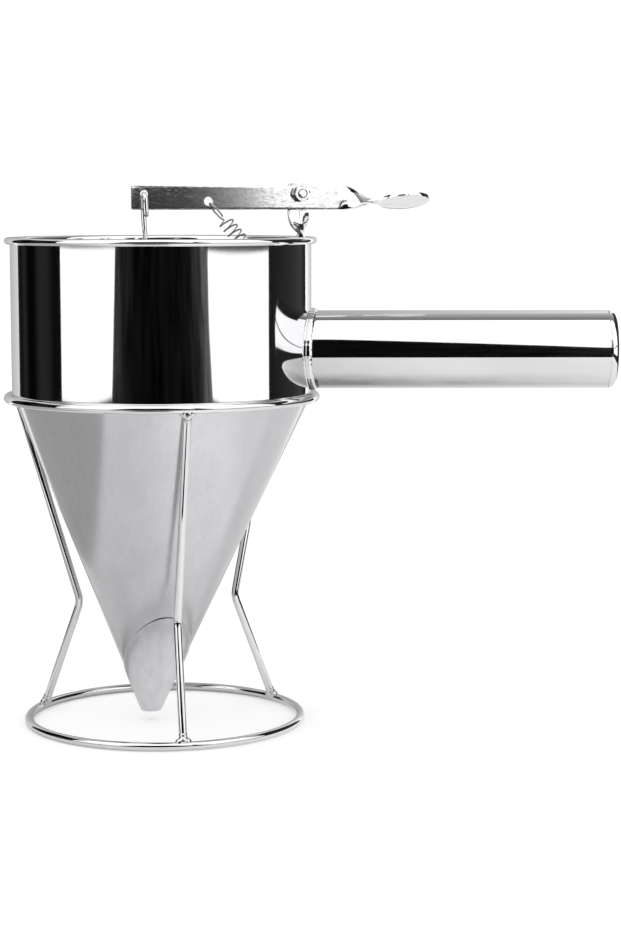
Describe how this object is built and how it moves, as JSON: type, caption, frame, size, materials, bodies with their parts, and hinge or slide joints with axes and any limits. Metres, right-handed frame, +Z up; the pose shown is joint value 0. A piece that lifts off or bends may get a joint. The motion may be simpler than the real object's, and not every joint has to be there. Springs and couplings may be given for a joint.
{
  "type": "pancake batter dispenser",
  "caption": "Steel funnel with a tube handle and a thumb lever that lifts a stopper rod, held in a wire stand with bent legs.",
  "frame": {"origin": "middle of the bounding box on the surface that the base ring stands on", "axes": "+X along the handle, away from the cup; +Y away from the viewer; +Z up, along the cup's axis"},
  "size_m": [0.2854, 0.1472, 0.253],
  "materials": {
    "mirror_steel": "polished stainless sheet and rod",
    "satin_steel": "satin stainless sheet",
    "brushed_steel": "brushed stainless strip",
    "plated_steel": "bright plated fasteners",
    "spring_steel": "bright drawn spring wire",
    "chrome_wire": "bright chromed wire"
  },
  "bodies": {
    "stand": {"stand_base_ring": "chrome_wire", "stand_top_ring": "chrome_wire", "stand_leg_front": "chrome_wire", "stand_leg_right": "chrome_wire", "stand_leg_left": "chrome_wire"},
    "funnel": {"cup_shell": "mirror_steel", "cone": "satin_steel", "nozzle_sleeve": "satin_steel", "handle_tube": "mirror_steel", "handle_weld": "mirror_steel", "handle_end_cap": "mirror_steel", "lever_bracket": "brushed_steel", "pivot_bolt": "plated_steel", "pivot_nut": "plated_steel", "washer_front": "plated_steel", "washer_back": "plated_steel", "spring_lug": "brushed_steel", "return_spring": "spring_steel"},
    "lever": {"lever": "brushed_steel"},
    "stopper": {"stopper_rod": "mirror_steel", "stopper_plug": "satin_steel"}
  },
  "joints": [
    {"name": "funnel_lift", "type": "slide", "parent": "stand", "child": "funnel", "axis": [0, 0, 1], "range_m": [0, 0.16]},
    {"name": "lever_press", "type": "hinge", "parent": "funnel", "child": "lever", "pos_m": [-0.00484, 0.01705, 0.248], "axis": [-0.2756, 0.9613, 0], "range_deg": [0, 18], "stiffness_Nm_per_rad": 0.25, "springref_deg": -34.38, "deforming": ["return_spring"]},
    {"name": "rod_hang", "type": "hinge", "parent": "lever", "child": "stopper", "pos_m": [-0.07659, -0.00352, 0.2477], "axis": [-0.2756, 0.9613, 0], "range_deg": [-18, 0]}
  ],
  "couplings": [
    {"joint": "rod_hang", "follows": "lever_press", "ratio": -1}
  ]
}
